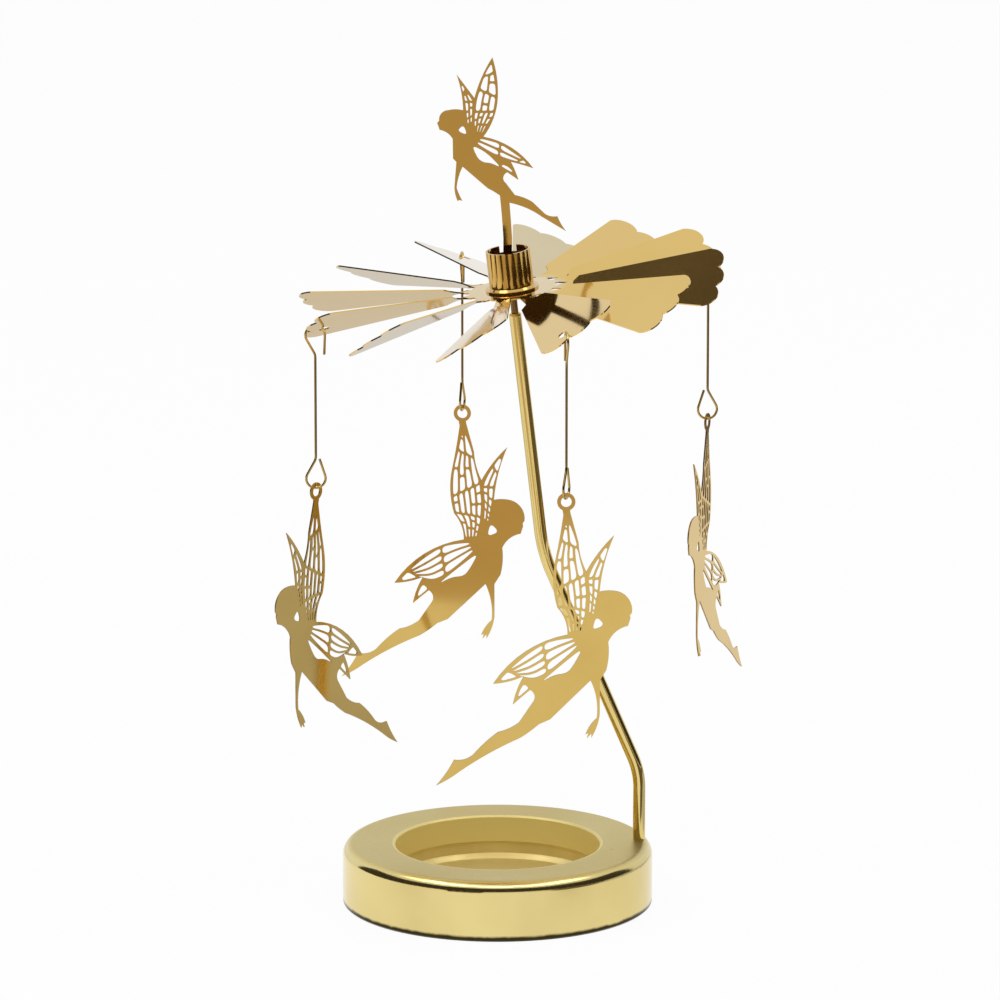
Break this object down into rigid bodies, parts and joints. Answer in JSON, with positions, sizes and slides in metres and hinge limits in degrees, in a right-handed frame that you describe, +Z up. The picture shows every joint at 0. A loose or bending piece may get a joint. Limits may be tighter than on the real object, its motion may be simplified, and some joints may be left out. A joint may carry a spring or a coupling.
{
  "type": "candle carousel",
  "caption": "Tealight carousel: round base with a candle recess, bent side rod with a needle, bladed pinwheel rotor and winged sheet figures hung from wire hooks.",
  "frame": {"origin": "centre of the base underside, on the table", "axes": "+Z up, +X towards the foot of the support rod"},
  "size_m": [0.104, 0.0929, 0.1798],
  "materials": {
    "base_gold": "satin gold plate",
    "rod_brass": "polished gold plate",
    "needle_steel": "dark bright steel",
    "sheet_gold": "mirror gold plate on thin sheet",
    "hub_gold": "polished gold plate",
    "wire_gold": "drawn wire, gold plate"
  },
  "bodies": {
    "stand": {"base_shell": "base_gold", "candle_pan": "base_gold", "foot_bush": "base_gold", "support_rod": "rod_brass", "needle": "needle_steel"},
    "rotor": {"rotor_wheel": "sheet_gold", "hub_sleeve": "hub_gold", "bearing_cup": "hub_gold", "top_fairy": "sheet_gold"},
    "wire_right": {"hook_wire_right": "wire_gold"},
    "figure_right": {"fairy_right": "sheet_gold"},
    "wire_back": {"hook_wire_back": "wire_gold"},
    "figure_back": {"fairy_back": "sheet_gold"},
    "wire_left": {"hook_wire_left": "wire_gold"},
    "figure_left": {"fairy_left": "sheet_gold"},
    "wire_front": {"hook_wire_front": "wire_gold"},
    "figure_front": {"fairy_front": "sheet_gold"}
  },
  "joints": [
    {"name": "rotor_spin", "type": "hinge", "parent": "stand", "child": "rotor", "pos_m": [0.00238, -0.00198, 0.1352], "axis": [-0.1174, -0.0326, 0.9925], "continuous": true},
    {"name": "wire_swing_right", "type": "hinge", "parent": "rotor", "child": "wire_right", "pos_m": [0.04458, 0.00407, 0.13374], "axis": [0.0279, -0.9996, 0], "range_deg": [-6, 25]},
    {"name": "figure_swing_right", "type": "hinge", "parent": "wire_right", "child": "figure_right", "pos_m": [0.04458, 0.00407, 0.10095], "axis": [0.9063, -0.4226, 0], "range_deg": [-12, 12]},
    {"name": "wire_swing_back", "type": "hinge", "parent": "rotor", "child": "wire_back", "pos_m": [-0.00297, 0.04005, 0.12929], "axis": [0.9996, 0.0279, 0], "range_deg": [-6, 25]},
    {"name": "figure_swing_back", "type": "hinge", "parent": "wire_back", "child": "figure_back", "pos_m": [-0.00297, 0.04005, 0.0965], "axis": [0.2588, 0.9659, 0], "range_deg": [-12, 12]},
    {"name": "wire_swing_left", "type": "hinge", "parent": "rotor", "child": "wire_left", "pos_m": [-0.03854, -0.00767, 0.12352], "axis": [-0.0279, 0.9996, 0], "range_deg": [-6, 25]},
    {"name": "figure_swing_left", "type": "hinge", "parent": "wire_left", "child": "figure_left", "pos_m": [-0.03854, -0.00767, 0.09073], "axis": [0.7133, -0.7009, 0], "range_deg": [-12, 12]},
    {"name": "wire_swing_front", "type": "hinge", "parent": "rotor", "child": "wire_front", "pos_m": [0.00901, -0.04364, 0.12796], "axis": [-0.9996, -0.0279, 0], "range_deg": [-6, 25]},
    {"name": "figure_swing_front", "type": "hinge", "parent": "wire_front", "child": "figure_front", "pos_m": [0.00901, -0.04364, 0.09517], "axis": [0.0523, 0.9986, 0], "range_deg": [-12, 12]}
  ]
}
